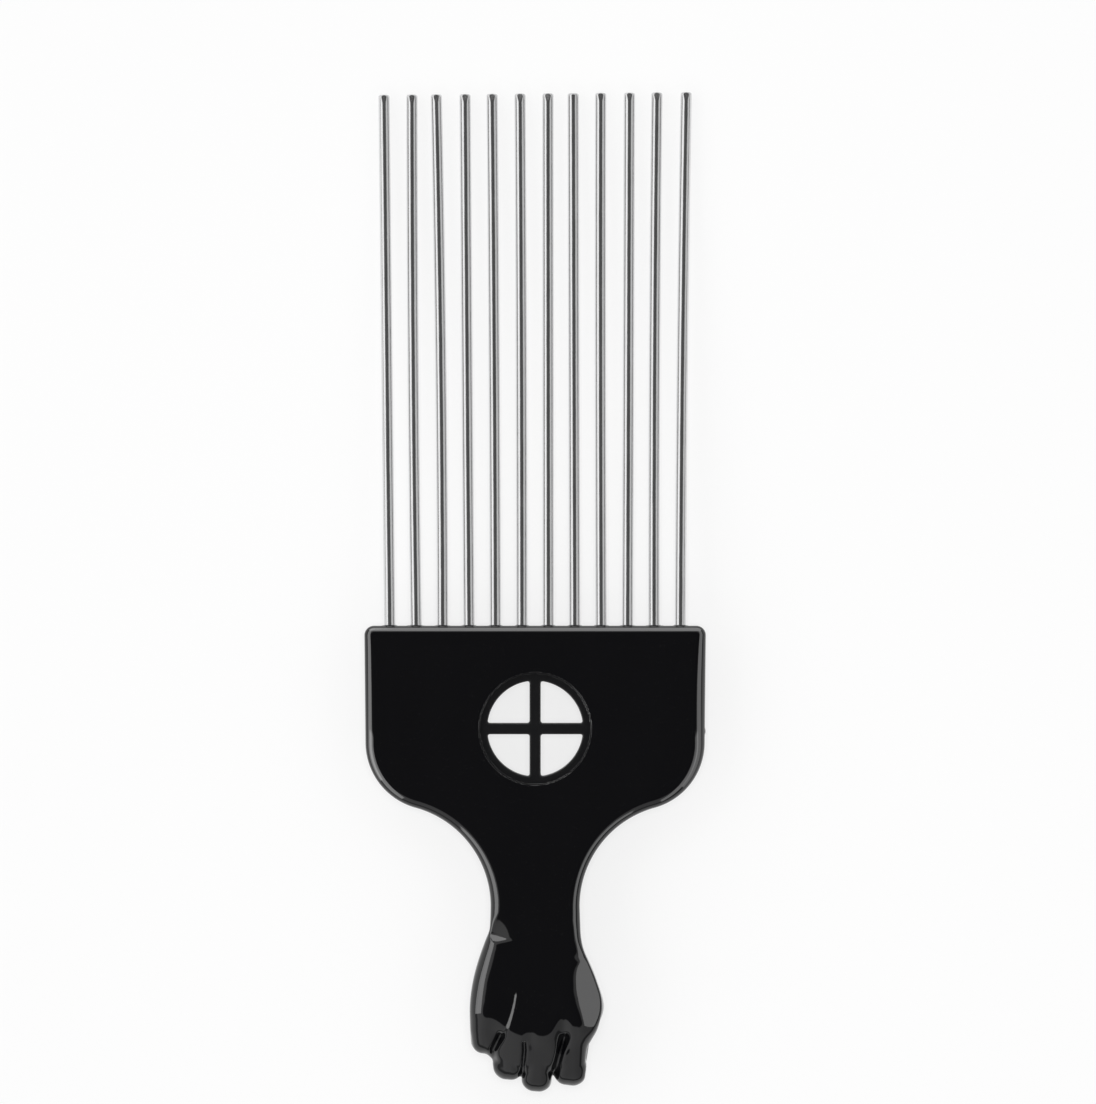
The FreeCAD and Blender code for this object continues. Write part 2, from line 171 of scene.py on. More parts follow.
def smooth_curve(*knots):
    """Smooth function through (place, value) knots, flat beyond its ends."""
    places, values = np.array(sorted(knots)).T
    slopes = np.gradient(values, places)

    def at(place):
        index = np.clip(np.searchsorted(places, place) - 1, 0, len(places) - 2)
        span = places[index + 1] - places[index]
        share = np.clip((place - places[index]) / span, 0, 1)
        rest = 1 - share
        start = (1 + 2 * share) * rest**2 * values[index] + share * rest**2 * span * slopes[index]
        end = share * share * (3 - 2 * share) * values[index + 1]
        end = end + share * share * (share - 1) * span * slopes[index + 1]
        return start + end

    return at


def stretch_distance(point, start, end):
    """Share along a straight stretch, and distance from it; points are one array for each direction."""
    run = [b - a for a, b in zip(start, end)]
    offset = [p - a for p, a in zip(point, start)]
    share = np.clip(sum(o * r for o, r in zip(offset, run)) / sum(r * r for r in run), 0, 1)
    return share, np.sqrt(sum((o - share * r) ** 2 for o, r in zip(offset, run)))


def route_distance(point, route):
    """Distance from a route of straight stretches."""
    return np.minimum.reduce([stretch_distance(point, start, end)[1] for start, end in zip(route, route[1:])])


# Hand, by the place along the drawing's Y

# Reach of its outline to the left and right, and of its faces in front of and behind mid thickness
HAND_LEFT = smooth_curve(
    (-NECK_DROP, 10.05), (-66.0, 10.12), (-68.3, 10.35), (-70.5, 11.2), (-72.8, 12.05), (-75.0, 12.8),
    (-79.5, 14.0), (-84.0, 14.65), (-88.6, 14.7), (-91.5, 14.5), (-93.5, 13.9), (-95.0, 12.7),
    (-96.2, 11.0), (-97.4, 9.8), (-98.9, 9.4), (-101.0, 8.4),
)
HAND_RIGHT = smooth_curve(
    (-NECK_DROP, 10.05), (-66.0, 10.15), (-70.5, 10.45), (-72.8, 11.0), (-75.0, 11.95), (-79.5, 13.8),
    (-84.0, 15.05), (-86.3, 15.05), (-88.6, 14.6), (-90.8, 13.9), (-93.1, 12.6), (-95.0, 11.5),
    (-97.0, 10.95), (-99.0, 10.75), (-101.0, 10.2),
)
HAND_FRONT = smooth_curve(
    (-58.0, 3.0), (-62.8, 3.05), (-66.0, 3.2), (-70.0, 3.5), (-73.0, 4.1), (-78.0, 5.2), (-84.0, 6.1),
    (-88.5, 6.45), (-90.5, 6.3), (-92.0, 5.8), (-93.5, 5.15), (-96.0, 4.04), (-101.0, 1.8), (-107.0, -0.9),
)
HAND_BACK = smooth_curve(
    (-58.0, 3.0), (-62.8, 3.2), (-68.0, 4.6), (-76.0, 7.4), (-84.0, 9.2), (-90.0, 9.0), (-96.0, 8.2),
    (-106.0, 6.5),
)
HAND_END = 100.5
HAND_END_BLEND = 2.0
# Radius of the rounded edges on both sides, from the head's top to the fingertips
LEFT_ROUND = smooth_curve(
    (0.0, 1.9), (-4.0, 2.1), (-10.0, 2.2), (-40.0, 2.4), (-56.0, 2.8), (-63.0, 3.0), (-70.0, 3.5),
    (-78.0, 4.2), (-88.0, 4.2), (-96.0, 3.0), (-105.0, 2.4),
)
RIGHT_ROUND = smooth_curve(
    (0.0, 1.9), (-4.0, 2.3), (-10.0, 2.7), (-30.0, 2.7), (-45.0, 2.4), (-60.0, 2.3), (-66.0, 2.5),
    (-72.0, 3.2), (-80.0, 4.2), (-88.0, 4.2), (-96.0, 3.0), (-105.0, 2.4),
)
# How much sharper the edges are in front, beside the wrist's dent and the flat side of the thumb
DENT_SHARP = smooth_curve(
    (-61.0, 0.0), (-64.0, 0.3), (-66.0, 0.8), (-68.0, 0.8), (-70.0, 0.3), (-72.0, 0.0),
)
THUMB_SHARP = smooth_curve(
    (-66.0, 0.0), (-70.0, 0.9), (-74.0, 1.9), (-79.0, 1.9), (-84.0, 1.0), (-90.0, 0.0),
)
# How much sooner than at the middle knuckle the hand falls away, by the place across it: down to the
# fingertips at the sides, and only at the knuckles in the valleys between them
SIDE_SHIFT = smooth_curve(
    (-14.0, 3.2), (-9.0, 2.6), (-6.8, 1.0), (-5.0, 0.0), (4.0, 0.0), (9.0, 1.3), (14.0, 1.2),
)
VALLEY_SHIFT = smooth_curve(
    (-3.0, 0.0), (-1.0, 0.8), (0.6, 0.0), (3.8, 0.0), (6.2, 2.3), (8.4, 0.3), (10.0, 0.0),
)
# Where along the hand that shift sets in and where the valleys end, and over what length each does
SHIFT_START = -80.0
SHIFT_FADE = 8.0
VALLEY_END = -92.5
VALLEY_FADE = 4.0

# Flat side of the thumb, which slopes away from the back of the hand
THUMB_SLOPE = math.radians(28)
THUMB_EDGE = smooth_curve(
    (-62.0, 16.0), (-69.0, 11.5), (-72.0, 9.6), (-73.6, 9.2), (-75.0, 9.5), (-76.4, 8.9), (-80.6, 8.6),
    (-85.0, 9.4), (-90.0, 10.7), (-95.0, 12.5),
)
THUMB_SIDE_BLEND = 0.6
# Joints of the folded thumb: place, then radius
THUMB_JOINTS = (
    ((6.4, -70.5, -1.6), 2.4),
    ((8.2, -78.5, -3.8), 3.9),
    ((11.0, -86.0, -5.6), 4.0),
    ((6.8, -92.6, -9.6), 3.4),
    ((0.9, -94.6, -10.4), 3.1),
)
THUMB_JOINT_BLEND = 1.0
THUMB_BLEND = 1.4

# Fingers: knuckle, lowest point, and half widths at both
FINGERS = {
    "little": ((-11.9, -88.0), (-11.6, -96.1), (2.0, 2.6)),
    "ring": ((-5.4, -91.2), (-6.2, -102.1), (2.4, 3.2)),
    "middle": ((1.3, -91.3), (0.1, -104.8), (3.3, 3.2)),
    "index": ((9.4, -89.8), (7.4, -103.4), (2.7, 3.4)),
}
FINGER_END_ROUND = 2.6
FINGER_RADIUS = 3.2
FINGER_ROUND = 1.9
FINGER_BLEND = 0.8
# Folded part of a finger: the height where it starts, its reach behind mid thickness, and its length
FOLD_TOP = -2.0
FOLD_BACK = 10.8
FOLD_LENGTH = 7.5
# How much shorter than its finger a fold is at least, its inset from the finger's end, its lean on the way
# down, and its rise towards the tip
FOLD_ROOM = 3.4
FOLD_INSET = 0.25
FOLD_LEAN = 0.3
FOLD_RISE = 0.4
# The folded fingers and the thumb count only below this place
FIST_START = -64.0

# Grooves between the fingers: points along the groove, then its width
GROOVES = (
    (((-7.9, -91.9), (-9.4, -95.0), (-9.5, -97.5)), 2.3),
    (((-2.5, -93.4), (-2.4, -95.0), (-3.1, -103.0)), 1.3),
    (((6.6, -92.2), (5.8, -95.0), (3.7, -103.0)), 2.4),
)
# Depth of a groove, and the distance over which it fades, as shares of its width
GROOVE_DEPTH = 0.55
GROOVE_FADE = 0.35

# Dent beside the wrist: a round hollow that a straight slope cuts off below
DENT_CENTRE = (-11.2, -69.9)
DENT_RADIUS = 6.0
DENT_LOW = -71.4
DENT_LEAN = 0.2
DENT_SLOPES = (0.38, 0.75)
DENT_BLEND = 0.25
DENT_RIM = 0.35
# Distance from the dent's sloping faces, as a share of the height over them
DENT_SLANT = 0.9

# Crease from the back of the hand to the ring finger's knuckle: a step down to its left, which fades away
CREASE_START = (-4.2, -81.2)
CREASE_END = (-6.8, -91.2)
CREASE_DEPTH = (0.3, 0.65)
CREASE_WIDTH = (0.55, 1.15)
CREASE_FADE = 6.0
CREASE_BOW = 0.4
# It sets in over a sixth of its length, and runs out over a third of it past its end
CREASE_ONSET = 6
CREASE_RUNOUT = 3


def head_outline(x, y):
    """Distance from the outline of the head and the neck."""
    across = np.abs(x)
    side = HEAD_WIDTH / 2 - SIDE_DRAFT * np.clip(-y / SIDE_DROP, 0, 1)
    top = rounded(across - side, y - HEAD_TOP, CORNER_RADIUS)
    shoulder_x = HEAD_WIDTH / 2 - SIDE_DRAFT - SHOULDER_RADIUS
    neck_x = NECK_WIDTH / 2 + NECK_RADIUS
    shoulder = np.hypot(across - shoulder_x, y + SIDE_DROP) - SHOULDER_RADIUS
    neck = NECK_RADIUS - np.hypot(across - neck_x, y + NECK_DROP)
    beyond = (neck_x - shoulder_x) * (y + SIDE_DROP) + (NECK_DROP - SIDE_DROP) * (across - shoulder_x)
    return np.where(y > -SIDE_DROP, top, np.where(beyond > 0, shoulder, neck))


def finger_place(x, y, knuckle, lowest):
    """Distance along a finger from its knuckle, distance across it, and its length."""
    run = (lowest[0] - knuckle[0], lowest[1] - knuckle[1])
    reach = math.hypot(*run)
    along = ((x - knuckle[0]) * run[0] + (y - knuckle[1]) * run[1]) / reach
    across = ((x - knuckle[0]) * run[1] - (y - knuckle[1]) * run[0]) / reach
    return along, across, reach


def finger_outline(x, y, knuckle, lowest, half_widths):
    along, across, reach = finger_place(x, y, knuckle, lowest)
    half_width = half_widths[0] + (half_widths[1] - half_widths[0]) * ease(along / reach)
    end = rounded(np.abs(across) - half_width, along - reach, FINGER_END_ROUND)
    return np.maximum(end, -along)


def hand_outline(x, y):
    outline = np.maximum(-x - HAND_LEFT(y), x - HAND_RIGHT(y))
    outline = smooth_common(outline, -HAND_END - y, HAND_END_BLEND)
    for shape in FINGERS.values():
        outline = smooth_union(outline, finger_outline(x, y, *shape), FINGER_BLEND)
    return outline


def hand_front(x, y):
    """Height of the front face: the plate, the back of the hand and the slope below the knuckles."""
    valley = VALLEY_SHIFT(x) * (1 - ease((VALLEY_END - y) / VALLEY_FADE))
    return HAND_FRONT(y - (SIDE_SHIFT(x) + valley) * ease((SHIFT_START - y) / SHIFT_FADE))


def wrist_dent(x, y):
    """Depth of the dent, negative where it stays above the hand."""
    fall = DENT_RADIUS - np.hypot(x - DENT_CENTRE[0], y - DENT_CENTRE[1])
    rise = y - DENT_LOW - DENT_LEAN * (x - DENT_CENTRE[0])
    return smooth_union(fall * DENT_SLOPES[0], rise * DENT_SLOPES[1], DENT_BLEND)


def crease(x, y):
    """Depth of the crease and of the low ground to its left."""
    run_x = CREASE_END[0] - CREASE_START[0]
    run_y = CREASE_END[1] - CREASE_START[1]
    length = math.hypot(run_x, run_y)
    along = ((x - CREASE_START[0]) * run_x + (y - CREASE_START[1]) * run_y) / length**2
    left = ((x - CREASE_START[0]) * run_y - (y - CREASE_START[1]) * run_x) / length
    share = np.clip(along, 0, 1)
    left = left + 4 * CREASE_BOW * share * (1 - share)
    width = CREASE_WIDTH[0] + (CREASE_WIDTH[1] - CREASE_WIDTH[0]) * share
    depth = CREASE_DEPTH[0] + (CREASE_DEPTH[1] - CREASE_DEPTH[0]) * share
    step = ease(left / width + 0.5) * (1 - ease(left / CREASE_FADE))
    return depth * step * ease(CREASE_ONSET * along) * (1 - ease(CREASE_RUNOUT * (along - 1)))


def finger_grooves(x, y):
    depth = np.zeros_like(x)
    for route, width in GROOVES:
        distance = route_distance((x, y), route)
        groove = GROOVE_DEPTH * width * np.exp(-((distance / (GROOVE_FADE * width)) ** 2))
        depth = np.maximum(depth, groove)
    return depth


def plate_and_palm(x, y, z):
    """Head, neck, wrist and fist as one slab with a changing outline and thickness and a carved front."""
    uncarved = hand_front(x, y)
    carving = crease(x, y) + finger_grooves(x, y)
    front = uncarved - np.where(y < -NECK_DROP, carving, 0)
    back = HAND_BACK(y)
    outline = np.where(y > -NECK_DROP, head_outline(x, y), hand_outline(x, y))
    middle = (front - back) / 2
    edge = np.where(x < 0, LEFT_ROUND(y), RIGHT_ROUND(y))
    edge = edge - np.where(x < 0, DENT_SHARP(y), THUMB_SHARP(y)) * (z > middle)
    slab = rounded(outline, np.abs(z - middle) - (front + back) / 2, edge)
    thumb_side = (x - THUMB_EDGE(y)) * math.sin(THUMB_SLOPE) + (z - uncarved) * math.cos(THUMB_SLOPE)
    carved = smooth_common(slab, thumb_side, THUMB_SIDE_BLEND)
    carved = smooth_common(carved, DENT_SLANT * (z - uncarved + wrist_dent(x, y)), DENT_RIM)
    return np.where(y < -NECK_DROP, carved, slab)


def folded_finger(x, y, z, knuckle, lowest, half_widths):
    """Part of a finger that bends round and lies against the palm."""
    along, across, reach = finger_place(x, y, knuckle, lowest)
    bend = reach - FINGER_RADIUS - FOLD_INSET
    low = FINGER_RADIUS - FOLD_BACK
    tip = bend - min(FOLD_LENGTH, reach - FOLD_ROOM)
    route = ((bend, FOLD_TOP), (bend - FOLD_LEAN, low), (tip, low + FOLD_RISE))
    profile = route_distance((along, z), route)
    ends = np.maximum(along - reach, tip - FINGER_RADIUS - along)
    sides = rounded(np.abs(across) - half_widths[1], ends, FINGER_END_ROUND)
    return rounded(profile - FINGER_RADIUS, sides, FINGER_ROUND)


def thumb(x, y, z):
    stretches = []
    for (start, start_radius), (end, end_radius) in zip(THUMB_JOINTS, THUMB_JOINTS[1:]):
        share, distance = stretch_distance((x, y, z), start, end)
        stretches.append(distance - start_radius - (end_radius - start_radius) * share)
    solid = stretches[0]
    for stretch in stretches[1:]:
        solid = smooth_union(solid, stretch, THUMB_JOINT_BLEND)
    return solid


def window_openings(x, y):
    """Distance from the four quarters that the bars leave open."""
    y = y + WINDOW_DROP
    quarter = smooth_common(BAR_WIDTH / 2 - np.abs(x), BAR_WIDTH / 2 - np.abs(y), OPENING_CORNER)
    return smooth_common(quarter, np.hypot(x, y) - OPENING_RADIUS, OPENING_CORNER)


def tooth_place(number):
    """Place of a tooth across the head, from -1 to 1."""
    return 2 * number / (TOOTH_COUNT - 1) - 1


def tooth_root(number):
    return tooth_place(number) * (HEAD_WIDTH / 2 - TOOTH_MARGIN)


def handle_solid(x, y, z):
    """Handle without the folded fingers and the thumb."""
    solid = plate_and_palm(x, y, z)

    recess_floor = PLATE_THICKNESS / 2 - RECESS_DEPTH
    recess = np.maximum(np.hypot(x, y + WINDOW_DROP) - RECESS_RADIUS, recess_floor - np.abs(z))
    solid = smooth_cut(solid, recess, RECESS_EDGE)
    solid = smooth_cut(solid, window_openings(x, y), OPENING_EDGE)

    roots = np.array([tooth_root(number) for number in range(TOOTH_COUNT)])
    nearest = np.clip(np.rint((x - roots[0]) / (roots[1] - roots[0])), 0, TOOTH_COUNT - 1).astype(int)
    around = np.hypot(x - roots[nearest], z) - TOOTH_DIAMETER / 2 - COLLAR_WIDTH
    along = np.abs(y + COLLAR_DROP) - COLLAR_DROP - HEAD_TOP - COLLAR_HEIGHT
    solid = smooth_union(solid, rounded(around, along, COLLAR_ROUND), COLLAR_BLEND)

    gate_x = HEAD_WIDTH / 2 - SIDE_DRAFT - GATE_RADIUS
    from_gate = np.sqrt((x - gate_x) ** 2 + ((y + GATE_DROP) * GATE_SQUEEZE) ** 2 + z**2)
    return smooth_union(solid, from_gate - GATE_RADIUS - GATE_HEIGHT, GATE_BLEND)


def fist_solid(x, y, z):
    solid = handle_solid(x, y, z)
    for shape in FINGERS.values():
        solid = smooth_union(solid, folded_finger(x, y, z, *shape), FINGER_BLEND)
    return smooth_union(solid, thumb(x, y, z), THUMB_BLEND)


def whole_handle(x, y, z):
    """Handle's distance at points in any order; the fist counts only near itself."""
    distance = np.empty_like(x)
    near = y < FIST_START
    distance[near] = fist_solid(x[near], y[near], z[near])
    distance[~near] = handle_solid(x[~near], y[~near], z[~near])
    return distance


# Surface of a solid, on a grid that is finer at the hand, the window and the edges than on the flat parts

def grid_lines(*stretches):
    """Rising coordinates, with their own spacing in each (start, end, spacing) stretch."""
    lines = []
    for start, end, spacing in stretches:
        count = max(2, round((end - start) / spacing) + 1)
        lines.append(np.linspace(start, end, count)[:-1])
    return np.concatenate(lines + [[end]])


def mirrored_lines(*stretches):
    half = grid_lines(*stretches)
    return np.concatenate([-half[:0:-1], half])


GRID_X = mirrored_lines((0, 16.4, 0.34), (16.4, 35, 0.8), (35, 39, 0.25))
GRID_Y = grid_lines(
    (-106.2, -60, 0.33), (-60, -37, 0.5), (-37, -9, 0.36), (-9, -3.2, 0.6), (-3.2, 1.2, 0.2),
)
GRID_Z = grid_lines((-14.2, -3.4, 0.34), (-3.4, 3.4, 0.3), (3.4, 8.2, 0.33))
ROWS_AT_ONCE = 20
CELL_CORNERS = [(x, y, z) for x in (0, 1) for y in (0, 1) for z in (0, 1)]

# Rounds of evening the points out, how far a point slides in each, and its longest move onto the surface
SETTLE_ROUNDS = 3
SLIDE_SHARE = 0.5
LONGEST_MOVE = 0.2
LEAST_STEEPNESS = 0.05
# Distance over which slopes are measured to move points, and to set the normals
SLOPE_STEP = 0.01
NORMAL_STEP = 0.12


def grid_values(solid, xs, ys, zs):
    """Distances of a solid at all grid points, worked out a few rows at a time."""
    values = np.empty((len(xs), len(ys), len(zs)))
    for start in range(0, len(ys), ROWS_AT_ONCE):
        rows = slice(start, start + ROWS_AT_ONCE)
        part = np.meshgrid(xs, ys[rows], zs, indexing="ij")
        values[:, rows] = solid(*[axis.ravel() for axis in part]).reshape(part[0].shape)
    return values


def crossed_cells(inside):
    """Numbers of the grid cells that the surface passes through, and -1 for the others."""
    cells = tuple(size - 1 for size in inside.shape)
    count = np.zeros(cells, np.int8)
    for corner in CELL_CORNERS:
        count += inside[tuple(slice(offset, offset + size) for offset, size in zip(corner, cells))]
    crossed = (count > 0) & (count < len(CELL_CORNERS))
    number = np.full(cells, -1)
    number[crossed] = np.arange(crossed.sum())
    return number


def cell_points(values, number, lines):
    """One point in each crossed cell, in the middle of the places where the surface cuts the cell's edges."""
    index = np.argwhere(number >= 0)
    total = np.zeros((len(index), 3))
    hits = np.zeros(len(index))
    for first in CELL_CORNERS:
        for axis in range(3):
            if first[axis]:
                continue
            second = tuple(1 if side == axis else offset for side, offset in enumerate(first))
            low = values[tuple((index + first).T)]
            high = values[tuple((index + second).T)]
            cut = (low < 0) != (high < 0)
            share = np.where(cut, low / np.where(cut, low - high, 1), 0)
            for side in range(3):
                start = lines[side][index[:, side] + first[side]]
                end = lines[side][index[:, side] + second[side]]
                total[:, side] += np.where(cut, start + share * (end - start), 0)
            hits += cut
    return total / hits[:, None]


def cell_quads(inside, number):
    """One quad across each grid edge that the surface cuts, from the points of the four cells around it."""
    cells = np.array(number.shape)
    quads = []
    for axis in range(3):
        u, v = (axis + 1) % 3, (axis + 2) % 3
        low = np.take(inside, range(cells[axis]), axis)
        high = np.take(inside, range(1, cells[axis] + 1), axis)
        for entering in (False, True):
            edges = np.argwhere((~low & high) if entering else (low & ~high))
            across = edges[:, [u, v]]
            edges = edges[np.all((across > 0) & (across < cells[[u, v]]), axis=1)]
            ring = []
            for step_u, step_v in ((-1, -1), (0, -1), (0, 0), (-1, 0)):
                cell = edges.copy()
                cell[:, u] += step_u
                cell[:, v] += step_v
                ring.append(number[tuple(cell.T)])
            quads.append(np.stack(ring[::-1] if entering else ring, axis=1))
    return np.concatenate(quads)


def surface_mesh(solid, xs, ys, zs):
    """Points and quads of the surface of a solid."""
    values = grid_values(solid, xs, ys, zs)
    inside = values < 0
    number = crossed_cells(inside)
    return cell_points(values, number, (xs, ys, zs)), cell_quads(inside, number)


def gradient(solid, points, step):
    slopes = np.empty_like(points)
    for axis in range(3):
        offset = np.zeros(3)
        offset[axis] = step
        slopes[:, axis] = (solid(*(points + offset).T) - solid(*(points - offset).T)) / (2 * step)
    return slopes


def settle(solid, points, quads):
    """Evens the points out along the surface and draws them onto it; gives points and their normals."""
    edges = np.concatenate([quads[:, [side, (side + 1) % 4]] for side in range(4)])
    degree = np.bincount(edges[:, 0], minlength=len(points))
    for turn in range(2 * SETTLE_ROUNDS):
        slopes = gradient(solid, points, SLOPE_STEP)
        steepness = np.maximum(np.sum(slopes**2, axis=1), LEAST_STEEPNESS)
        push = (-solid(*points.T) / steepness)[:, None] * slopes
        length = np.linalg.norm(push, axis=1, keepdims=True)
        points = points + push * np.minimum(1, LONGEST_MOVE / np.maximum(length, 1e-9))
        if turn < SETTLE_ROUNDS:
            centre = np.stack([
                np.bincount(edges[:, 0], points[edges[:, 1], axis], len(points)) / degree for axis in range(3)
            ], axis=1)
            normal = slopes / np.linalg.norm(slopes, axis=1, keepdims=True)
            slide = centre - points
            slide -= np.sum(slide * normal, axis=1, keepdims=True) * normal
            points = points + SLIDE_SHARE * slide
    slopes = gradient(solid, points, NORMAL_STEP)
    return points, slopes / np.linalg.norm(slopes, axis=1, keepdims=True)


# Pieces

# Name of the mark on satin points, and how far they stay inside the recess's edge
SATIN = "satin"
SATIN_MARGIN = 0.1


def new_piece(name, points, faces, material, node, normals=None):
    """Mesh object from points of the flat drawing that rides on the frame and stands for a CAD node."""
    turn = np.array(TO_FRAME)
    mesh = bpy.data.meshes.new(name)
    mesh.from_pydata((points @ turn[:3, :3].T + turn[:3, 3]).tolist(), [], faces)
    mesh.polygons.foreach_set("use_smooth", [True] * len(mesh.polygons))
    if normals is not None:
        mesh.normals_split_custom_set_from_vertices((normals @ turn[:3, :3].T / MM).tolist())
    mesh.materials.append(material)
    mesh.validate()
    piece = bpy.data.objects.new(name, mesh)
    bpy.context.scene.collection.objects.link(piece)
    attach(piece, "root")
    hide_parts(node)
    return piece


def mark_satin(piece, points):
    """Marks the recessed window, whose mould face was left satin."""
    from_window = np.hypot(points[:, 0], points[:, 1] + WINDOW_DROP)
    sunk = np.abs(points[:, 2]) < PLATE_THICKNESS / 2 - RECESS_DEPTH / 2
    inside = (from_window < RECESS_RADIUS - SATIN_MARGIN) & sunk
    satin = piece.data.attributes.new(SATIN, "FLOAT", "POINT")
    satin.data.foreach_set("value", inside.astype(np.float32))


def build_handle(material):
    points, quads = surface_mesh(whole_handle, GRID_X, GRID_Y, GRID_Z)
    points, normals = settle(whole_handle, points, quads)
    handle = new_piece(
        "moulded_handle", points, quads.tolist(), material, "handle", normals,
    )
    mark_satin(handle, points)
    return handle


def tooth_outline():
    """Height and radius along a wire, from its hidden root to its softened tip."""
    radius = TOOTH_DIAMETER / 2
    shaft_end = TOOTH_LENGTH - SHAFT_STOP * NIP_LENGTH
    nip_start = TOOTH_LENGTH - NIP_LEAD * NIP_LENGTH
    outline = [(-TOOTH_EMBED, 0.0), (-TOOTH_EMBED, radius)]
    for height in np.linspace(-TOOTH_EMBED + FIRST_RING, shaft_end, SHAFT_RINGS):
        outline.append((height, radius))
    for height in np.linspace(nip_start, TOOTH_LENGTH - TIP_ROUND, NIP_RINGS):
        outline.append((height, radius))
    for angle in np.radians(np.linspace(90 / ROUND_RINGS, 90, ROUND_RINGS)):
        height = TOOTH_LENGTH - TIP_ROUND * (1 - math.sin(angle))
        outline.append((height, radius - TIP_ROUND * (1 - math.cos(angle))))
    outline.append((TOOTH_LENGTH, 0.0))
    return outline


def tooth_points(number):
    """Points of a wire with its own slight bend, tip height and nipped end."""
    place = tooth_place(number)
    lean = place * TIP_SPREAD + TIP_DRIFT[number]
    shorten = TIP_STEP * (1 - place) / 2
    points = []
    for height, radius in tooth_outline():
        share = max(height / TOOTH_LENGTH, 0)
        x = tooth_root(number) + lean * share + MIDDLE_BOW[number] * 4 * share * (1 - share)
        y = height - shorten * share
        if radius == 0:
            points.append((x, y, 0.0))
            continue
        nip = TIP_NIP[number] * np.clip(1 - (TOOTH_LENGTH - height) / NIP_LENGTH, 0, 1)
        half_depth = TOOTH_DIAMETER / 2 - nip
        for side in range(TOOTH_SIDES):
            angle = 2 * math.pi * side / TOOTH_SIDES
            z = np.clip(-radius * math.sin(angle), -half_depth, half_depth)
            points.append((x + radius * math.cos(angle), y, z))
    return np.array(points)


def tooth_faces(last):
    """Faces from the point at a wire's root, number 0, over its rings to the last point, at its tip."""
    top = last - TOOTH_SIDES
    faces = []
    for side in range(TOOTH_SIDES):
        following = (side + 1) % TOOTH_SIDES
        faces.append((0, 1 + following, 1 + side))
        for low in range(1, top, TOOTH_SIDES):
            high = low + TOOTH_SIDES
            faces.append((low + side, low + following, high + following, high + side))
        faces.append((top + side, top + following, last))
    return faces


def build_tooth(number, material):
    points = tooth_points(number)
    node = f"tooth_{number + 1:02d}"
    new_piece(f"wire_{node}", points, tooth_faces(len(points) - 1), material, node)


# Materials

# Colours of their darker and paler patches
PLASTIC_DARK = (0.0017, 0.0017, 0.0023)
PLASTIC_PALE = (0.0029, 0.0029, 0.0037)
STEEL_DARK = (0.66, 0.66, 0.665)
STEEL_PALE = (0.76, 0.76, 0.765)
FLOOR_DARK = (0.27, 0.27, 0.27)
FLOOR_PALE = (0.285, 0.285, 0.285)
# Strength of the floor's own white
FLOOR_GLOW = 0.71
# Roughness from the finest grain or line to the coarsest, and what marks on the surface add to it
PLASTIC_ROUGHNESS = (0.05, 0.085)
SCRATCH_ROUGHNESS = 0.08
SATIN_ROUGHNESS = 0.3
STEEL_ROUGHNESS = (0.10, 0.17)
PATCH_ROUGHNESS = 0.08
# Range that most of a noise pattern lies in, and the ranges where a pattern turns into scratches
NOISE_RANGE = (0.3, 0.7)
HAIRLINE_RANGE = (0.66, 0.72)
CROSSING_RANGE = (0.68, 0.74)
# Height of the ripple and depth of the scratches on the plastic, as shares of the bump's distance
RIPPLE_HEIGHT = 0.6
SCRATCH_DEPTH = 0.12


class Shader:
    """Node tree of a new material with its surface shader at hand."""

    def __init__(self, name):
        self.material = bpy.data.materials.new(name)
        self.material.use_nodes = True
        self.nodes = self.material.node_tree.nodes
        self.surface = self.nodes["Principled BSDF"]
        self.place = self.add("ShaderNodeTexCoord").outputs["Object"]

    def add(self, kind, links=None, **settings):
        """New node; settings are its own properties, links its inputs by name or number."""
        node = self.nodes.new(kind)
        for name, value in settings.items():
            setattr(node, name, value)
        for name, value in (links or {}).items():
            self.set(node, name, value)
        return node

    def set(self, node, name, value):
        if isinstance(value, bpy.types.NodeSocket):
            self.material.node_tree.links.new(value, node.inputs[name])
        else:
            node.inputs[name].default_value = value

    def noise(self, scale, stretch=(1, 1, 1), detail=3.0):
        """Cloudy pattern with features of about 1 / scale metres, longer where a stretch value is small."""
        spread = self.add("ShaderNodeMapping", {"Vector": self.place, "Scale": stretch})
        node = self.add(
            "ShaderNodeTexNoise",
            {"Vector": spread.outputs["Vector"], "Scale": scale, "Detail": detail},
        )
        return node.outputs["Fac"]

    def remap(self, value, low, high, to_low, to_high):
        node = self.add(
            "ShaderNodeMapRange",
            {"Value": value, "From Min": low, "From Max": high, "To Min": to_low, "To Max": to_high},
        )
        return node.outputs["Result"]

    def math(self, operation, first, second):
        return self.add("ShaderNodeMath", {0: first, 1: second}, operation=operation).outputs[0]

    def tint(self, value, dark, pale):
        node = self.add("ShaderNodeMix", {"Factor": value, 6: (*dark, 1), 7: (*pale, 1)}, data_type="RGBA")
        return node.outputs[2]

    def bump(self, height, strength, distance):
        node = self.add("ShaderNodeBump", {"Height": height, "Strength": strength, "Distance": distance})
        self.set(self.surface, "Normal", node.outputs["Normal"])


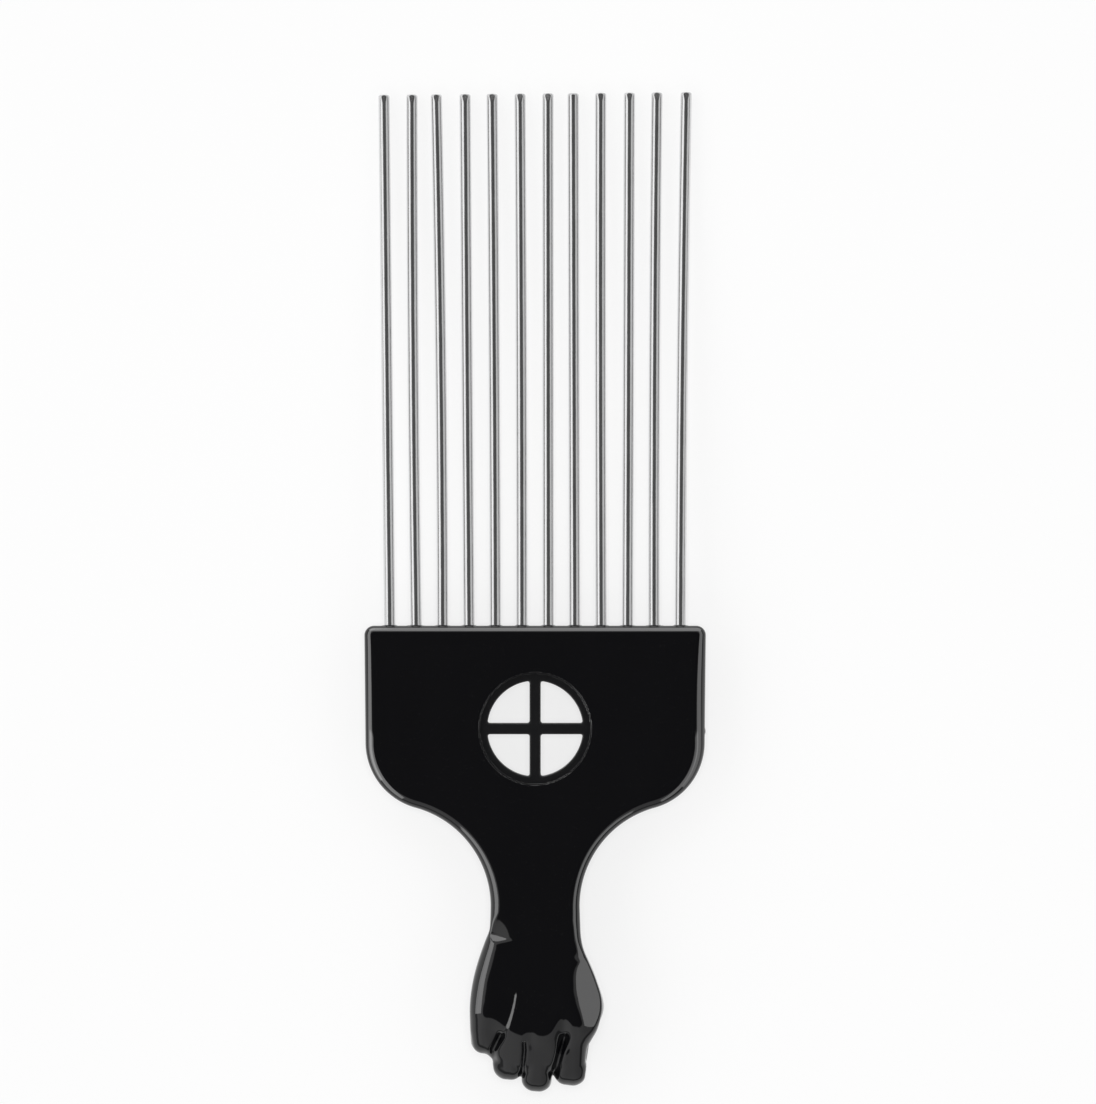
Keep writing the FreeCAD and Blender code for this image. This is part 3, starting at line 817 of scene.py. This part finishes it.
def plastic_material():
    """Polished black moulding with faint flow marks and handling scratches, satin inside the window."""
    shader = Shader("black_moulded_plastic")
    surface = shader.surface
    flow = shader.noise(scale=70, stretch=(1, 0.4, 1))
    shader.set(surface, "Base Color", shader.tint(flow, PLASTIC_DARK, PLASTIC_PALE))
    hairline = shader.noise(scale=260, stretch=(9, 0.25, 1), detail=2.0)
    hairline = shader.remap(hairline, *HAIRLINE_RANGE, 0, 1)
    crossing = shader.noise(scale=230, stretch=(0.3, 8, 1), detail=2.0)
    crossing = shader.remap(crossing, *CROSSING_RANGE, 0, 1)
    scratches = shader.math("MAXIMUM", hairline, crossing)
    grain = shader.remap(shader.noise(scale=900), *NOISE_RANGE, *PLASTIC_ROUGHNESS)
    worn = shader.math("MULTIPLY", scratches, SCRATCH_ROUGHNESS)
    marked = shader.add("ShaderNodeAttribute", attribute_name=SATIN).outputs["Fac"]
    satin = shader.math("MULTIPLY", marked, SATIN_ROUGHNESS)
    shader.set(surface, "Roughness", shader.math("ADD", shader.math("ADD", grain, worn), satin))
    ripple = shader.math("MULTIPLY", shader.noise(scale=420, detail=1.0), RIPPLE_HEIGHT)
    cuts = shader.math("MULTIPLY", scratches, SCRATCH_DEPTH)
    shader.bump(shader.math("SUBTRACT", ripple, cuts), strength=0.05, distance=0.1 * MM)
    shader.set(surface, "IOR", 1.46)
    return shader.material


def steel_material():
    """Bright drawn wire with fine lines along its length and small dull patches."""
    shader = Shader("drawn_steel_wire")
    surface = shader.surface
    lines = shader.noise(scale=2600, stretch=(1, 0.004, 1))
    patches = shader.noise(scale=240, stretch=(1, 0.3, 1))
    shader.set(surface, "Base Color", shader.tint(patches, STEEL_DARK, STEEL_PALE))
    drawn = shader.remap(lines, *NOISE_RANGE, *STEEL_ROUGHNESS)
    dull = shader.math("MULTIPLY", patches, PATCH_ROUGHNESS)
    shader.set(surface, "Roughness", shader.math("ADD", drawn, dull))
    shader.bump(lines, strength=0.08, distance=0.1 * MM)
    shader.set(surface, "Metallic", 1.0)
    return shader.material


def floor_material():
    """Matt white floor that keeps soft shadows.

    Most of its white is its own, to the camera and in reflections, and lights nothing else.
    """
    shader = Shader("pale_floor")
    surface = shader.surface
    shader.set(surface, "Base Color", shader.tint(shader.noise(scale=3), FLOOR_DARK, FLOOR_PALE))
    shader.set(surface, "Roughness", 0.7)
    shader.set(surface, "Specular IOR Level", 0.1)
    shader.set(surface, "Emission Color", (1, 1, 1, 1))
    ray = shader.add("ShaderNodeLightPath").outputs
    seen = shader.math("MAXIMUM", ray["Is Camera Ray"], ray["Is Glossy Ray"])
    seen = shader.math("MAXIMUM", seen, ray["Is Transmission Ray"])
    shader.set(surface, "Emission Strength", shader.math("MULTIPLY", seen, FLOOR_GLOW))
    return shader.material


# Studio

# Half the floor's side, in metres
FLOOR_HALF = 4.0
# Brightness of the surroundings: above the pick, in a ring around it and at the horizon, and what it is
# multiplied by on the left and on the right
SKY_TOP = 0.09
SKY_RING = 0.95
SKY_LOW = 0.3
SKY_LEFT = 1.3
SKY_RIGHT = 0.7
# Angles from straight above, in degrees, over which the ring sets in and ends
RING_START = (34, 38)
RING_END = (72, 78)
# How far a direction points to the left or right where the full difference is reached
SIDE_REACH = 0.8

# Lamps that the plastic's rounded edges mirror: middle, point that they face, width and height, brightness
STRIP_GAP = 6.0
BESIDE_HEAD = HEAD_WIDTH / 2 + STRIP_GAP
STRIPS = {
    "head_left_strip": ((-BESIDE_HEAD, -17.5, 7.3), (0, -17.5, 7.3), (49, 8.6), 3.5),
    "head_right_strip": ((BESIDE_HEAD, -20, 7.3), (0, -20, 7.3), (54, 8.6), 2.4),
    "head_top_strip": ((0, 6.5, 6), (0, 0, 6), (2 * BESIDE_HEAD, 9), 4.0),
    "hand_left_strip": ((-60, -60, 30), (0, -60, 30), (70, 44), 3.5),
    "hand_right_strip": ((60, -70, 36), (0, -70, 36), (90, 38), 2.4),
    "wrist_box": ((-143, 300, 104), (-8, -70, 104), (213, 110), 4.0),
}
# Lamp high above the pick, for the floor and its shadows, in the same order
FILL = ((3, 17, 1100), (3, 17, 0), (240, 240), 26.0)


def build_floor():
    mesh = bpy.data.meshes.new("floor")
    corners = [(-1, -1), (1, -1), (1, 1), (-1, 1)]
    mesh.from_pydata([(x * FLOOR_HALF, y * FLOOR_HALF, 0) for x, y in corners], [], [(0, 1, 2, 3)])
    mesh.materials.append(floor_material())
    floor = bpy.data.objects.new("floor", mesh)
    bpy.context.scene.collection.objects.link(floor)


def build_world():
    """Dark above the pick, pale around it and dim at the horizon, brighter on the left than on the right."""
    world = bpy.data.worlds.new("studio")
    bpy.context.scene.world = world
    world.use_nodes = True
    tree = world.node_tree
    background = tree.nodes["Background"]
    direction = tree.nodes.new("ShaderNodeSeparateXYZ")
    tree.links.new(tree.nodes.new("ShaderNodeTexCoord").outputs["Generated"], direction.inputs[0])
    ramp = tree.nodes.new("ShaderNodeValToRGB")
    tree.links.new(direction.outputs["Z"], ramp.inputs["Fac"])
    bands = (
        (RING_END[1], SKY_LOW), (RING_END[0], SKY_RING), (RING_START[1], SKY_RING), (RING_START[0], SKY_TOP),
    )
    while len(ramp.color_ramp.elements) < len(bands):
        ramp.color_ramp.elements.new(1.0)
    for element, (angle, brightness) in zip(ramp.color_ramp.elements, bands):
        element.position = math.cos(math.radians(angle))
        element.color = (brightness, brightness, brightness, 1)
    tree.links.new(ramp.outputs["Color"], background.inputs["Color"])
    side = tree.nodes.new("ShaderNodeMapRange")
    tree.links.new(direction.outputs["X"], side.inputs["Value"])
    side.inputs["From Min"].default_value = -SIDE_REACH
    side.inputs["From Max"].default_value = SIDE_REACH
    side.inputs["To Min"].default_value = SKY_LEFT
    side.inputs["To Max"].default_value = SKY_RIGHT
    tree.links.new(side.outputs["Result"], background.inputs["Strength"])


def soft_box(name, centre, target, size, radiance):
    """Rectangular lamp of an even brightness; places and sizes are millimetres of the flat drawing."""
    lamp = bpy.data.lights.new(name, "AREA")
    lamp.shape = "RECTANGLE"
    lamp.size = size[0] * MM
    lamp.size_y = size[1] * MM
    lamp.energy = math.pi * radiance * lamp.size * lamp.size_y
    box = bpy.data.objects.new(name, lamp)
    bpy.context.scene.collection.objects.link(box)
    place = TO_FRAME @ Vector(centre)
    box.location = place
    box.rotation_euler = (TO_FRAME @ Vector(target) - place).to_track_quat("-Z", "Y").to_euler()
    box.visible_camera = False
    return box


def build_lights(handle):
    """Strips that only the handle mirrors, and a fill for the floor.

    The head's strips stand close to its edges, so that its flat face mirrors them only at low angles.
    """
    mirrors = bpy.data.collections.new("mirrors_strips")
    mirrors.objects.link(handle)
    for name, settings in STRIPS.items():
        strip = soft_box(name, *settings)
        strip.light_linking.receiver_collection = mirrors
        strip.visible_diffuse = False
    fill = soft_box("overhead_fill", *FILL)
    fill.visible_glossy = False


def build_camera():
    """Camera straight over the front face; the sensor's width lies along the frame's longer side."""
    lens = bpy.data.cameras.new("camera")
    lens.sensor_width = SENSOR_WIDTH
    lens.lens = SENSOR_WIDTH * CAMERA_DISTANCE / PHOTO_HEIGHT
    camera = bpy.data.objects.new("camera", lens)
    bpy.context.scene.collection.objects.link(camera)
    camera.location = TO_FRAME @ Vector((*PHOTO_CENTRE, CAMERA_DISTANCE))
    camera.rotation_euler = TO_FRAME.to_euler()
    bpy.context.scene.camera = camera


bpy.context.scene.view_settings.view_transform = "Standard"
plastic = plastic_material()
steel = steel_material()
handle = build_handle(plastic)
for number in range(TOOTH_COUNT):
    build_tooth(number, steel)
build_floor()
build_world()
build_lights(handle)
build_camera()
